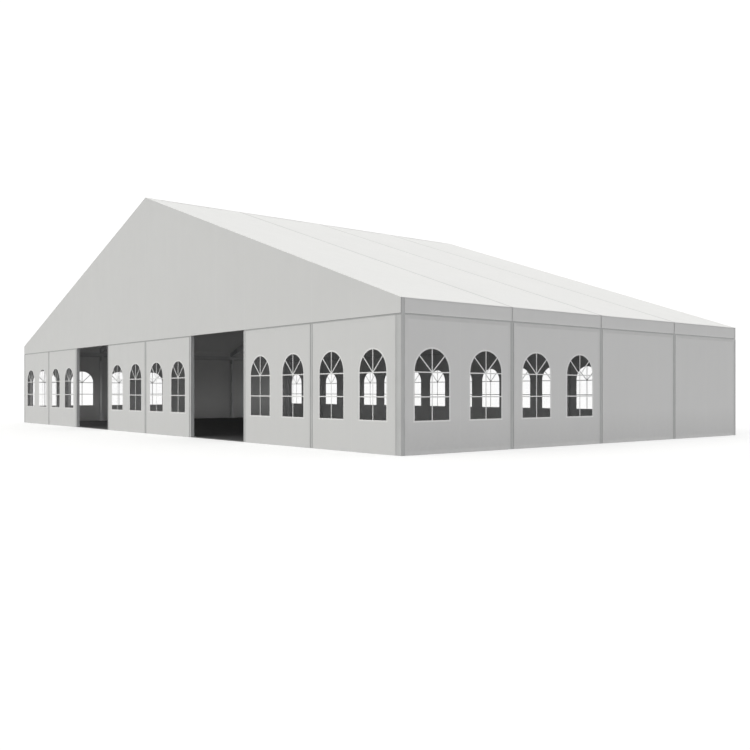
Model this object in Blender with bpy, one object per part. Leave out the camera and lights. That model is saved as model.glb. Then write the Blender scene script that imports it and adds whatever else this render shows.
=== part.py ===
"""Clear-span warehouse tent: five aluminium portal frames under a ridged fabric roof.

The gables face -Y (front) and +Y (back), the long walls face -X (left) and +X (right).
The origin is on the ground at the middle of the plan. Lengths are in metres.
"""

from math import cos, pi, sin, sqrt

import bmesh
import bpy

# The main grid
BAY = 4.935
GABLE_BAYS = 8
SIDE_BAYS = 4
CORNER_MARGIN = 0.21
END_MARGIN = 0.005

# Heights above the ground
WALL_HEIGHT = 4.465
EAVE_HEIGHT = 4.985
RIDGE_HEIGHT = 11.44

# Portal frames and the plates under their legs
PROFILE_DEPTH = 0.35
PROFILE_WIDTH = 0.13
FOOT_REACH = 0.35
FOOT_WIDTH = 0.40
FOOT_THICKNESS = 0.02
FOOT_INSET = 0.03

# Bars that run the length of the roof
PURLIN_WIDTH = 0.10
PURLIN_DEPTH = 0.12
PURLIN_LINES = (1, 2, 3)
PURLIN_INSET = 0.02
EAVE_BEAM_WIDTH = 0.12
EAVE_BEAM_BOTTOM = 4.50
EAVE_BEAM_TOP = 4.70

# Gable posts and the rail that joins them above the wall line
POST_WIDTH = 0.13
POST_DEPTH = 0.14
RAIL_HEIGHT = 0.12
DOOR_HEADER_BOTTOM = 4.495

# Sheets
SHEET = 0.012
SHEET_LAP = 0.01
ROOF_LIP = 0.02

# Arched windows, two in a bay, and the clear foil behind them
WINDOW_WIDTH = 1.47
WINDOW_OFFSET = 1.204
WINDOW_SILL = 1.10
WINDOW_SPRING = 2.665
ARCH_STEPS = 16
FOIL = 0.004
FOIL_LAP = 0.05

# Floor plates inside the feet
FLOOR_THICKNESS = 0.02

# Room between pieces that touch
GAP = 0.0003

# Bays counted from left to right on the gables and from front to back on the sides
FRONT_DOOR_BAYS = (3, 6)
FRONT_WINDOW_RUNS = ((1, 2), (4, 5), (7, 8))
BACK_WINDOW_RUNS = ((1, 2, 3), (4, 5), (6, 7, 8))
SIDE_FOIL_RUN = (1, 2)

# Sizes that follow from the ones above
HALF_SPAN = GABLE_BAYS / 2 * BAY + CORNER_MARGIN
HALF_LENGTH = SIDE_BAYS / 2 * BAY + END_MARGIN
ROOF_EDGE = HALF_SPAN + ROOF_LIP
ROOF_END = HALF_LENGTH + ROOF_LIP
SLOPE = (RIDGE_HEIGHT - EAVE_HEIGHT) / ROOF_EDGE
PITCH_FACTOR = sqrt(1 + SLOPE * SLOPE)
LEG_INNER = HALF_SPAN - PROFILE_DEPTH
FOIL_OFFSET = GAP
SHEET_OFFSET = FOIL_OFFSET + FOIL + GAP
CLAD_OFFSET = SHEET_OFFSET + SHEET
WALL_TOP = WALL_HEIGHT - GAP


def clear_scene():
    """Remove every object that the scene opens with."""
    for thing in list(bpy.data.objects):
        bpy.data.objects.remove(thing, do_unlink=True)


def make_material(name, colour, roughness, metallic=0.0, alpha=1.0):
    """Principled material with one colour."""
    material = bpy.data.materials.new(name)
    material.use_nodes = True
    shader = material.node_tree.nodes["Principled BSDF"]
    shader.inputs["Base Color"].default_value = (*colour, 1.0)
    shader.inputs["Roughness"].default_value = roughness
    shader.inputs["Metallic"].default_value = metallic
    shader.inputs["Alpha"].default_value = alpha
    return material


def roof_top(x):
    """Height of the roof's outer surface at a distance x from the middle."""
    return RIDGE_HEIGHT - SLOPE * abs(x)


def roof_under(x):
    """Height of the underside of the roof cover."""
    return roof_top(x) - SHEET * PITCH_FACTOR


def frame_top(x):
    """Height of the rafter's upper face, just under the cover."""
    return roof_under(x) - GAP


def rafter_under(x):
    """Height of the rafter's lower face."""
    return frame_top(x) - PROFILE_DEPTH * PITCH_FACTOR


def in_gable_plane(u, v, depth):
    """Put an outline's point in XZ, at a place along Y."""
    return (u, depth, v)


def in_side_plane(u, v, depth):
    """Put an outline's point in YZ, at a place along X."""
    return (depth, u, v)


def add_prism(mesh, outlines, plane, start, end):
    """Fill the first outline, less the holes that the others mark, and pull it from start to end."""
    old_faces = set(mesh.faces)
    rims = []
    for outline in outlines:
        corners = [mesh.verts.new(plane(u, v, start)) for u, v in outline]
        for corner, following in zip(corners, corners[1:] + corners[:1]):
            rims.append(mesh.edges.new((corner, following)))
    bmesh.ops.triangle_fill(mesh, use_beauty=True, use_dissolve=False, edges=rims)
    cap = [face for face in mesh.faces if face not in old_faces]
    pulled = bmesh.ops.extrude_face_region(mesh, geom=cap)
    moved = [item for item in pulled["geom"] if isinstance(item, bmesh.types.BMVert)]
    along = [b - a for a, b in zip(plane(0, 0, start), plane(0, 0, end))]
    bmesh.ops.translate(mesh, vec=along, verts=moved)


def add_piece(name, prisms, material):
    """Make one object from the prisms that belong to it."""
    mesh = bmesh.new()
    for prism in prisms:
        add_prism(mesh, *prism)
    bmesh.ops.recalc_face_normals(mesh, faces=mesh.faces)
    data = bpy.data.meshes.new(name)
    mesh.to_mesh(data)
    mesh.free()
    data.materials.append(material)
    piece = bpy.data.objects.new(name, data)
    bpy.context.collection.objects.link(piece)
    return piece


def rectangle(u_low, u_high, v_low, v_high):
    """Outline of an upright rectangle."""
    return [(u_low, v_low), (u_high, v_low), (u_high, v_high), (u_low, v_high)]


def arch(centre, grown=0.0):
    """Outline of an arched window, with its edge moved outwards by grown."""
    radius = WINDOW_WIDTH / 2 + grown
    outline = [(centre - radius, WINDOW_SILL - grown), (centre + radius, WINDOW_SILL - grown)]
    for step in range(ARCH_STEPS + 1):
        turn = pi * step / ARCH_STEPS
        outline.append((centre + radius * cos(turn), WINDOW_SPRING + radius * sin(turn)))
    return outline


def window_centres(bay_centre):
    """Middle lines of a bay's two windows."""
    return (bay_centre - WINDOW_OFFSET, bay_centre + WINDOW_OFFSET)


def mirrored(outline):
    """The same outline on the other side of the middle."""
    return [(-u, v) for u, v in outline]


def gable_bay_centre(bay):
    """Middle of a gable bay, counted from the left."""
    return (bay - 0.5 - GABLE_BAYS / 2) * BAY


def side_bay_centre(bay):
    """Middle of a side bay, counted from the front."""
    return (bay - 0.5 - SIDE_BAYS / 2) * BAY


def frame_centres():
    """Places of the portal frames along Y, with the end frames flush with the gables."""
    places = [(number - SIDE_BAYS / 2) * BAY for number in range(SIDE_BAYS + 1)]
    places[0] = -HALF_LENGTH + PROFILE_WIDTH / 2
    places[-1] = -places[0]
    return places


def side_bay_room(bay):
    """Width along Y of a side panel, which laps the legs on both sides of it."""
    places = frame_centres()
    half = PROFILE_WIDTH / 2 - SHEET_LAP
    return (places[bay - 1] + half, places[bay] - half)


def gable_bay_room(bay):
    """Width along X of a gable panel, which laps the posts or the corner leg."""
    half = POST_WIDTH / 2 - SHEET_LAP
    low = (bay - 1 - GABLE_BAYS / 2) * BAY + half
    high = (bay - GABLE_BAYS / 2) * BAY - half
    if bay == 1:
        low = -LEG_INNER - SHEET_LAP
    if bay == GABLE_BAYS:
        high = LEG_INNER + SHEET_LAP
    return (low, high)


def purlin_outline(x, room=0.0):
    """Section of a purlin under the right slope, or of the notch that it runs through."""
    low = x - PURLIN_WIDTH / 2 - room
    high = x + PURLIN_WIDTH / 2 + room
    depth = PURLIN_DEPTH + room
    return [
        (high, frame_top(high)),
        (high, frame_top(high) - depth),
        (low, frame_top(low) - depth),
        (low, frame_top(low)),
    ]


def ridge_outline(room=0.0):
    """Lower part of the ridge bar's section, or of the notch that it runs through."""
    half = PURLIN_WIDTH / 2 + room
    bottom = frame_top(PURLIN_WIDTH / 2) - PURLIN_DEPTH - room
    return [(half, frame_top(half)), (half, bottom), (-half, bottom), (-half, frame_top(half))]


def frame_outline():
    """Outline of a portal frame, with a notch in its upper face for each purlin."""
    right_slope = []
    for line in reversed(PURLIN_LINES):
        right_slope += purlin_outline(line * BAY, GAP)
    left_slope = list(reversed(mirrored(right_slope)))
    outer_leg = [(LEG_INNER, 0.0), (HALF_SPAN, 0.0), (HALF_SPAN, frame_top(HALF_SPAN))]
    inner_corner = (LEG_INNER, rafter_under(LEG_INNER))
    inside = [mirrored([inner_corner])[0], (0.0, rafter_under(0.0)), inner_corner]
    return (
        outer_leg
        + right_slope
        + ridge_outline(GAP)
        + left_slope
        + list(reversed(mirrored(outer_leg)))
        + inside
    )


def foot_outlines():
    """Outlines of the two plates under a frame's legs."""
    plate = rectangle(LEG_INNER - FOOT_REACH, HALF_SPAN - FOOT_INSET, 0.0, FOOT_THICKNESS)
    return [plate, mirrored(plate)]


def main_frame(number, place, material):
    """Portal frame: legs, rafters and foot plates in one piece."""
    faces = (place - PROFILE_WIDTH / 2, place + PROFILE_WIDTH / 2)
    frame = add_piece(f"main_frame_{number}", [([frame_outline()], in_gable_plane, *faces)], material)
    limit = HALF_LENGTH - FOOT_INSET - FOOT_WIDTH / 2
    middle = max(-limit, min(limit, place))
    edges = (middle - FOOT_WIDTH / 2, middle + FOOT_WIDTH / 2)
    prisms = [([outline], in_gable_plane, *edges) for outline in foot_outlines()]
    plates = add_piece(f"foot_plates_{number}", prisms, material)
    plates.hide_render = True
    plates.display_type = "WIRE"
    union = frame.modifiers.new("feet", "BOOLEAN")
    union.operation = "UNION"
    union.solver = "EXACT"
    union.object = plates


def roof_bars(material):
    """Purlins and ridge bar, which run through the frames' notches, and the eave beams."""
    reach = HALF_LENGTH - PURLIN_INSET
    for line in PURLIN_LINES:
        outline = purlin_outline(line * BAY)
        add_piece(f"purlin_left_{line}", [([mirrored(outline)], in_gable_plane, -reach, reach)], material)
        add_piece(f"purlin_right_{line}", [([outline], in_gable_plane, -reach, reach)], material)
    ridge = ridge_outline() + [(0.0, frame_top(0.0))]
    add_piece("ridge_bar", [([ridge], in_gable_plane, -reach, reach)], material)
    outer = LEG_INNER - GAP
    beam = rectangle(outer - EAVE_BEAM_WIDTH, outer, EAVE_BEAM_BOTTOM, EAVE_BEAM_TOP)
    reach = HALF_LENGTH - POST_DEPTH - GAP
    add_piece("eave_beam_left", [([mirrored(beam)], in_gable_plane, -reach, reach)], material)
    add_piece("eave_beam_right", [([beam], in_gable_plane, -reach, reach)], material)


def roof_covers(material):
    """One fabric cover for each bay, from eave to eave over the ridge."""
    upper = [(ROOF_EDGE, roof_top(ROOF_EDGE)), (0.0, roof_top(0.0)), (-ROOF_EDGE, roof_top(ROOF_EDGE))]
    lower = [(-ROOF_EDGE, roof_under(ROOF_EDGE)), (0.0, roof_under(0.0)), (ROOF_EDGE, roof_under(ROOF_EDGE))]
    for bay in range(1, SIDE_BAYS + 1):
        start = -ROOF_END if bay == 1 else (bay - 1 - SIDE_BAYS / 2) * BAY + GAP / 2
        end = ROOF_END if bay == SIDE_BAYS else (bay - SIDE_BAYS / 2) * BAY - GAP / 2
        add_piece(f"roof_cover_{bay}", [([upper + lower], in_gable_plane, start, end)], material)


def post_centre(number):
    """Place along X of a gable post, counted from the left."""
    return (number - GABLE_BAYS / 2) * BAY


def post_edge(number, direction, room=0.0):
    """Side of a gable post, looking left (-1) or right (+1), moved away from it by room."""
    return post_centre(number) + direction * (POST_WIDTH / 2 + room)


def gable_posts(name, side, numbers, rail_low, rail_high, material):
    """Posts from the ground to the rafters with the rail above the wall line, as one frame."""
    rail_top = WALL_HEIGHT + RAIL_HEIGHT
    below = []
    above = []
    for number in numbers:
        low = post_edge(number, -1)
        high = post_edge(number, 1)
        head = [(low, rafter_under(low) - GAP), (high, rafter_under(high) - GAP)]
        if number == GABLE_BAYS / 2:
            head.insert(1, (0.0, rafter_under(0.0) - GAP))
        below += [(low, WALL_HEIGHT), (low, 0.0), (high, 0.0), (high, WALL_HEIGHT)]
        above += [(low, rail_top)] + head + [(high, rail_top)]
    if rail_low < below[0][0]:
        below.insert(0, (rail_low, WALL_HEIGHT))
        above.insert(0, (rail_low, rail_top))
    if rail_high > below[-1][0]:
        below.append((rail_high, WALL_HEIGHT))
        above.append((rail_high, rail_top))
    faces = (side * HALF_LENGTH, side * (HALF_LENGTH - POST_DEPTH))
    add_piece(name, [([below + above[::-1]], in_gable_plane, *faces)], material)


def door_header(name, side, bay, material):
    """Rail over an open bay, between the door posts and hidden behind the gable cover's lower edge."""
    low = post_edge(bay - 1, 1, GAP)
    high = post_edge(bay, -1, GAP)
    outline = rectangle(low, high, DOOR_HEADER_BOTTOM, WALL_HEIGHT + RAIL_HEIGHT)
    faces = (side * HALF_LENGTH, side * (HALF_LENGTH - POST_DEPTH))
    add_piece(name, [([outline], in_gable_plane, *faces)], material)


def gable_frames(material):
    """Frame of the front gable, in three parts beside its doors, and of the back gable, in one."""
    left_door, right_door = FRONT_DOOR_BAYS
    end = LEG_INNER - GAP
    left = range(1, left_door)
    middle = range(left_door, right_door)
    right = range(right_door, GABLE_BAYS)
    between_doors = (post_edge(left_door, -1), post_edge(right_door - 1, 1))
    gable_posts("front_frame_left", -1, left, -end, post_edge(left_door - 1, 1), material)
    gable_posts("front_frame_middle", -1, middle, *between_doors, material)
    gable_posts("front_frame_right", -1, right, post_edge(right_door, -1), end, material)
    door_header("door_header_left", -1, left_door, material)
    door_header("door_header_right", -1, right_door, material)
    gable_posts("back_gable_frame", 1, range(1, GABLE_BAYS), -end, end, material)


def gable_cover(name, side, material):
    """Fabric over the whole gable triangle, down to the wall line."""
    edge = HALF_SPAN + SHEET_OFFSET - GAP
    shoulder = roof_under(edge) - GAP
    outline = [
        (-edge, WALL_HEIGHT),
        (edge, WALL_HEIGHT),
        (edge, shoulder),
        (0.0, roof_under(0.0) - GAP),
        (-edge, shoulder),
    ]
    faces = (side * (HALF_LENGTH + SHEET_OFFSET), side * (HALF_LENGTH + CLAD_OFFSET))
    add_piece(name, [([outline], in_gable_plane, *faces)], material)


def fascia(name, side, material):
    """Strip of fabric along an eave, from the wall line up to the roof cover."""
    reach = HALF_LENGTH + CLAD_OFFSET
    top = roof_under(HALF_SPAN + CLAD_OFFSET) - GAP
    faces = (side * (HALF_SPAN + SHEET_OFFSET), side * (HALF_SPAN + CLAD_OFFSET))
    add_piece(name, [([rectangle(-reach, reach, WALL_HEIGHT, top)], in_side_plane, *faces)], material)


def wall_panel(name, room, windows, plane, structure, side, material):
    """One bay of wall in front of the posts, with a hole for each of its windows."""
    outlines = [rectangle(*room, 0.0, WALL_TOP)] + [arch(middle) for middle in windows]
    faces = (side * (structure + SHEET_OFFSET), side * (structure + CLAD_OFFSET))
    add_piece(name, [(outlines, plane, *faces)], material)


def window_foil(name, windows, plane, structure, side, material):
    """Clear sheet between the posts and the panels, across a run of windows."""
    margin = WINDOW_WIDTH / 2 + FOIL_LAP
    top = WINDOW_SPRING + margin
    outline = rectangle(min(windows) - margin, max(windows) + margin, WINDOW_SILL - FOIL_LAP, top)
    faces = (side * (structure + FOIL_OFFSET), side * (structure + FOIL_OFFSET + FOIL))
    add_piece(name, [([outline], plane, *faces)], material)


def gable_walls(end, side, runs, fabric, foil):
    """Windowed wall panels of one gable and a foil behind each run of them, counted from -X to +X."""
    for bay in [bay for run in runs for bay in run]:
        windows = window_centres(gable_bay_centre(bay))
        room = gable_bay_room(bay)
        wall_panel(f"{end}_wall_{bay}", room, windows, in_gable_plane, HALF_LENGTH, side, fabric)
    for number, run in enumerate(runs, start=1):
        windows = [middle for bay in run for middle in window_centres(gable_bay_centre(bay))]
        window_foil(f"{end}_window_foil_{number}", windows, in_gable_plane, HALF_LENGTH, side, foil)


def side_walls(end, side, fabric, foil):
    """Wall panels and foil of one long side, counted from the front."""
    for bay in range(1, SIDE_BAYS + 1):
        windows = window_centres(side_bay_centre(bay)) if bay in SIDE_FOIL_RUN else ()
        room = side_bay_room(bay)
        wall_panel(f"{end}_wall_{bay}", room, windows, in_side_plane, HALF_SPAN, side, fabric)
    windows = [middle for bay in SIDE_FOIL_RUN for middle in window_centres(side_bay_centre(bay))]
    window_foil(f"{end}_window_foil", windows, in_side_plane, HALF_SPAN, side, foil)


def floor(material):
    """Dark floor plates inside the gable posts and the foot plates."""
    half_width = LEG_INNER - FOOT_REACH - GAP
    half_length = HALF_LENGTH - POST_DEPTH - GAP
    outline = rectangle(-half_width, half_width, 0.0, FLOOR_THICKNESS)
    add_piece("floor", [([outline], in_gable_plane, -half_length, half_length)], material)


def build():
    """Make every piece of the tent."""
    clear_scene()
    aluminium = make_material("frame_aluminium", (0.42, 0.43, 0.45), 0.45, metallic=0.8)
    fabric = make_material("white_fabric", (0.82, 0.82, 0.82), 0.5)
    foil = make_material("clear_foil", (0.85, 0.9, 0.92), 0.1, alpha=0.35)
    dark = make_material("floor_plate", (0.03, 0.03, 0.032), 0.7)

    for number, place in enumerate(frame_centres(), start=1):
        main_frame(number, place, aluminium)
    roof_bars(aluminium)
    roof_covers(fabric)
    gable_frames(aluminium)
    gable_cover("front_gable_cover", -1, fabric)
    gable_cover("back_gable_cover", 1, fabric)
    fascia("fascia_left", -1, fabric)
    fascia("fascia_right", 1, fabric)
    gable_walls("front", -1, FRONT_WINDOW_RUNS, fabric, foil)
    gable_walls("back", 1, BACK_WINDOW_RUNS, fabric, foil)
    side_walls("left", -1, fabric, foil)
    side_walls("right", 1, fabric, foil)
    floor(dark)


build()
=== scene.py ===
import bpy
import numpy as np
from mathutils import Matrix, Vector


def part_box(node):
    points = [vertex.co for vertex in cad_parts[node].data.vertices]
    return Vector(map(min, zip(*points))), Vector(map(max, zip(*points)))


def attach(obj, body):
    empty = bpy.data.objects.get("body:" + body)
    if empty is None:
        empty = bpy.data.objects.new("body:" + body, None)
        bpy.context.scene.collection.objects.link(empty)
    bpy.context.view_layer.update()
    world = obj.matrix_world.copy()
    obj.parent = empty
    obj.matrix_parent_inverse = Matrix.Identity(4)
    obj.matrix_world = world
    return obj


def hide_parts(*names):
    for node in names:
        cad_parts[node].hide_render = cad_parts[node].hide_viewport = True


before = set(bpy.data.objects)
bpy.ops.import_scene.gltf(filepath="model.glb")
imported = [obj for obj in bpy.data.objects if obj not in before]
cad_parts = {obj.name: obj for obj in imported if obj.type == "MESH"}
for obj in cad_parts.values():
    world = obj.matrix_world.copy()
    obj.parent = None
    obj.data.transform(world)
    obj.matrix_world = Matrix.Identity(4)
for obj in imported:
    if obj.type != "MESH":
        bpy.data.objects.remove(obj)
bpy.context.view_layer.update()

# Lines of the tent in metres. The gables lie along x and the side walls along y. Gaps of a few tenths of a
# millimetre keep touching pieces out of each other.
coverLow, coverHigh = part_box("roof_cover_1")
fasciaLow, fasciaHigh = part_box("fascia_right")
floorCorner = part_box("floor")[1]
bay = sum(corner.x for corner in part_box("purlin_right_1")) / 2
gableBays = 8
sideBays = 4
frontDoors = (3, 6)  # bays of the front gable that are open doorways
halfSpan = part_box("main_frame_3")[1].x
halfLength = -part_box("main_frame_1")[0].y
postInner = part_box("back_gable_frame")[0].y
postHalf = 0.065
legDepth = 0.35
sideReach = halfLength - 2 * postHalf  # from a side wall's middle to its last panel's end
ridgeHeight = coverHigh.z
roofEdge = coverHigh.x
roofEnd = -coverLow.y
coverDepth = fasciaHigh.x - fasciaLow.x  # thickness of the solids that stand for the fabric
clothDepth = 0.002  # thickness of the sheets shown in their place
faceDepth = fasciaHigh.x - halfSpan  # the fabric's outer face stands this far off the frames
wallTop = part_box("right_wall_1")[1].z
roofDrop = ridgeHeight - coverLow.z
slope = roofDrop / roofEdge
for refine in range(3):  # the drop includes the cover's thickness
    slope = (roofDrop - coverDepth * np.hypot(1, slope)) / roofEdge
pitchFactor = np.hypot(1, slope)
xAxis, yAxis, zAxis = np.eye(3)
sideWord = {-1: "left", 1: "right"}
print("frame read: bay", round(bay, 3))


# Distance of a bay line from the middle of a wall
def lineAt(line, bays):
    return (line - bays / 2) * bay


# Ends of a bay's sheet: a gap off its bay lines, and the wall's own end at the first and last one
def bayEnds(number, bays, gap, end):
    low = -end if number == 1 else lineAt(number - 1, bays) + gap
    high = end if number == bays else lineAt(number, bays) - gap
    return low, high


# Middles of the portal frames along y; the end ones stand flush with the gables
def framePlaces():
    places = lineAt(np.arange(sideBays + 1), sideBays)
    places[0] = -halfLength + postHalf
    places[-1] = -places[0]
    return places


# Points and faces

# Even steps from low towards high, without the last point
def openSteps(low, high, count):
    return np.linspace(low, high, count, endpoint=False)


# Half a sine wave from low to high, nought beyond
def halfSine(value, low, high):
    return np.sin(np.pi * np.clip((value - low) / (high - low), 0, 1))


def circle(radius, count):
    turns = openSteps(0, 2 * np.pi, count)
    return radius * np.column_stack([np.cos(turns), np.sin(turns)])


# Quads over a grid; a ring also joins its last row or column to the first
def gridQuads(rows, columns, ringRows=False, ringColumns=False):
    index = np.arange(rows * columns).reshape(rows, columns)
    if ringRows:
        index = np.vstack([index, index[:1]])
    if ringColumns:
        index = np.hstack([index, index[:, :1]])
    corners = [index[:-1, :-1], index[1:, :-1], index[1:, 1:], index[:-1, 1:]]
    return np.stack(corners, axis=-1).reshape(-1, 4)


# Grid of a sheet: its points, their places on the flat cloth, and its quads
def clothGrid(points, cloth, ring=False):
    quads = gridQuads(*points.shape[:2], ringRows=ring)
    return points.reshape(-1, 3), cloth.reshape(-1, 2), quads


# Six times a closed part's volume: the sum of a . (b x c) over its faces' triangles, negative where they
# point inwards
def signedVolume(points, faces):
    total = 0.0
    for group in faces:
        a = points[group[:, 0]]
        for k in range(1, group.shape[1] - 1):
            total += (a * np.cross(points[group[:, k]], points[group[:, k + 1]])).sum()
    return total


# Profile carried along a path: point = place + scale * (profile x * across + profile y * up).
# The ends are closed by the profile itself.
def sweep(profile, places, across, up, scales=1.0):
    profile = np.asarray(profile, float)
    count, width = len(places), len(profile)
    scales = np.broadcast_to(scales, count)[:, None, None]
    spread = profile[:, :1] * across + profile[:, 1:] * up
    points = (places[:, None, :] + scales * spread).reshape(-1, 3)
    ends = [np.arange(width)[None, :], (count - 1) * width + np.arange(width)[::-1][None, :]]
    return points, [gridQuads(count, width, ringColumns=True)] + ends


# Profile carried straight along x, y or z through a place; its own axes are the other two
def extrude(profile, axis, values, through=(0.0, 0.0, 0.0), scales=1.0):
    path = np.tile(through, (len(values), 1))
    path[:, axis] = values
    return sweep(profile, path, *np.delete(np.eye(3), axis, axis=0), scales)


# The same part at each of several places: point = place + the part's own point
def copies(part, places):
    points, faces = part
    places = np.asarray(places, float)
    moved = (places[:, None, :] + points[None, :, :]).reshape(-1, 3)
    steps = len(points) * np.arange(len(places))
    return moved, [(group[None, :, :] + steps[:, None, None]).reshape(-1, group.shape[1]) for group in faces]


# One mesh from closed parts, each turned so that its faces point outwards
def addSolid(name, parts, material, sharp=0.6):
    allPoints, allFaces, start = [], [], 0
    for points, faces in parts:
        order = -1 if signedVolume(points, faces) < 0 else 1
        for group in faces:
            allFaces += (group[:, ::order] + start).tolist()
        allPoints.append(points)
        start += len(points)
    mesh = bpy.data.meshes.new(name)
    mesh.from_pydata(np.concatenate(allPoints).tolist(), [], allFaces)
    return finishObject(name, mesh, material, sharp)


def addMetal(name, parts, word, sharp=0.4):
    return addSolid(name, parts, metal[word], sharp)


# Sheet from grids: points that fall together are merged, it thickens along inward, and a rim closes it
def addSheet(name, grids, inward, material, thickness=clothDepth):
    allPoints, allCloth, allQuads = zip(*grids)
    points, cloth = np.concatenate(allPoints), np.concatenate(allCloth)
    starts = np.cumsum([0] + [len(part) for part in allPoints[:-1]])
    quads = np.concatenate([part + start for part, start in zip(allQuads, starts)])
    first, merged = np.unique(np.round(points, 5), axis=0, return_index=True, return_inverse=True)[1:]
    points, cloth, quads = points[first], cloth[first], merged.reshape(-1)[quads]
    diagonals = np.cross(points[quads[:, 2]] - points[quads[:, 0]], points[quads[:, 3]] - points[quads[:, 1]])
    if (diagonals @ inward).sum() > 0:
        quads = quads[:, ::-1]
    edges = np.concatenate([quads[:, [k, (k + 1) % 4]] for k in range(4)])
    where, uses = np.unique(np.sort(edges, axis=1), axis=0, return_index=True, return_counts=True)[1:]
    border = edges[where[uses == 1]]
    count = len(points)
    rim = np.stack([border[:, 1], border[:, 0], border[:, 0] + count, border[:, 1] + count], axis=1)
    faces = np.concatenate([quads, quads[:, ::-1] + count, rim])
    mesh = bpy.data.meshes.new(name)
    mesh.from_pydata(np.concatenate([points, points + thickness * inward]).tolist(), [], faces.tolist())
    mark = mesh.attributes.new("cloth", "FLOAT_VECTOR", "POINT")
    flat = np.column_stack([cloth, np.zeros(count)])
    mark.data.foreach_set("vector", np.concatenate([flat, flat]).astype(np.float32).ravel())
    return finishObject(name, mesh, material, 0.6)


def addObject(name, data):
    made = bpy.data.objects.new(name, data)
    bpy.context.scene.collection.objects.link(made)
    return made


# Shading, material, body and slot of a new piece
def finishObject(name, mesh, material, sharp):
    mesh.update()
    mesh.materials.append(material)
    mesh.shade_smooth()
    mesh.set_sharp_from_angle(angle=sharp)
    piece = addObject(name, mesh)
    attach(piece, "root")
    return piece


# A wall's own axes are u along it, v for height and d outwards from the frames' outer face. Each wall has a
# function that puts such points in their place, its inward direction, and whether it is a side wall.
def wallAxes(side, onSide=False):
    def place(points):
        u, v, d = np.moveaxis(points, -1, 0)
        outwards = side * ((halfSpan if onSide else halfLength) + d)
        return np.stack([outwards, u, v] if onSide else [u, outwards, v], axis=-1)
    return place, -side * (xAxis if onSide else yAxis), onSide


walls = {"front": wallAxes(-1), "back": wallAxes(1), "left": wallAxes(-1, True), "right": wallAxes(1, True)}


# A part given in a wall's axes, put in its place
def placed(place, part):
    points, faces = part
    return place(points), faces


# Materials

# New node, in the given tree or else in that of the sockets that feed it
def addNode(kind, sockets, tree=None, **settings):
    tree = tree or next(value.id_data for value in sockets.values() if hasattr(value, "id_data"))
    made = tree.nodes.new("ShaderNode" + kind)
    for key, value in settings.items():
        setattr(made, key, value)
    for key, value in sockets.items():
        if hasattr(value, "id_data"):
            tree.links.new(value, made.inputs[key])
        else:
            made.inputs[key].default_value = value
    return made


# New material and the Object coordinates for its patterns
def newMaterial(name, **sockets):
    material = bpy.data.materials.new(name)
    material.use_nodes = True
    shader = material.node_tree.nodes["Principled BSDF"]
    for key, value in sockets.items():
        shader.inputs[key.replace("_", " ")].default_value = value
    return material, addNode("TexCoord", {}, material.node_tree).outputs["Object"]


def noiseOn(vector, scale, detail=2.0, roughness=0.5):
    sockets = {"Vector": vector, "Scale": scale, "Detail": detail, "Roughness": roughness}
    return addNode("TexNoise", sockets).outputs["Fac"]


# Straight line from the low value to the high one, held at both ends
def ranged(value, fromLow, fromHigh, toLow, toHigh):
    sockets = {"Value": value, "From Min": fromLow, "From Max": fromHigh, "To Min": toLow, "To Max": toHigh}
    return addNode("MapRange", sockets).outputs["Result"]


# Soft patches between a low and a high value
def patchy(vector, scale, detail, low, high, roughness=0.5):
    return ranged(noiseOn(vector, scale, detail, roughness), 0.3, 0.7, low, high)


def mathOf(operation, first, second=0.0):
    return addNode("Math", {0: first, 1: second}, operation=operation).outputs["Value"]


# Product of all the values
def times(product, *others):
    for other in others:
        product = mathOf("MULTIPLY", product, other)
    return product


def axisOf(vector, axis):
    return addNode("SeparateXYZ", {"Vector": vector}).outputs[axis]


def stretched(vector, scale):
    return addNode("Mapping", {"Vector": vector, "Scale": scale}).outputs["Vector"]


# Base colour = colour * tone, a roughness, and heights in metres as bumps, one over the other
def finished(material, colour, tone, roughness=None, heights=()):
    tree = material.node_tree
    shader = tree.nodes["Principled BSDF"]
    made = addNode("VectorMath", {0: colour, "Scale": tone}, operation="SCALE")
    tree.links.new(made.outputs["Vector"], shader.inputs["Base Color"])
    if roughness:
        tree.links.new(roughness, shader.inputs["Roughness"])
    sockets = {"Distance": 1.0}
    for sockets["Height"], sockets["Strength"] in heights:
        sockets["Normal"] = addNode("Bump", sockets).outputs["Normal"]
    if heights:
        tree.links.new(sockets["Normal"], shader.inputs["Normal"])
    return material


fabric = {
    "roofColour": (0.842, 0.842, 0.836),
    "wallColour": (0.716, 0.716, 0.714),
    "hemColour": (0.706, 0.706, 0.704),
    "weldColour": (0.86, 0.86, 0.857),
    "seamColour": (0.64, 0.64, 0.636),
    "ridgeColour": (0.83, 0.83, 0.825),
    "foilColour": (0.36, 0.385, 0.4),
    "threadPitch": 0.0035,
    "threadHeight": 0.00012,
    "wrinkleHeight": 0.006,
    "weldPitch": bay / 2,
    "weldHalf": 0.02,
    "weldHeight": 0.0009,
    "splashAndShadeHeight": 1.3,
    "gableSplash": 0.02,  # share of the light that the dirt takes at the foot
    # on the side walls mostly painted shade from the dim ground beside them, with some dirt
    "sideSplashAndShade": 0.155,
}


# Darker towards the foot: dirt thrown up from the ground, and where the share is large, as on the side walls,
# painted shade from the dim ground beside them; it fades evenly up to the height given, and lies in spots
def splashedAndShaded(place, tone, share):
    if not share:
        return tone
    low = ranged(axisOf(place, "Z"), 0.0, fabric["splashAndShadeHeight"], 1.0, 0.0)
    spots = ranged(noiseOn(place, 7.0, 6.0, 0.65), 0.3, 0.75, 0.7, 1.0)
    return times(tone, ranged(times(low, spots), 0.0, 1.0, 1.0, 1.0 - share))
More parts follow.
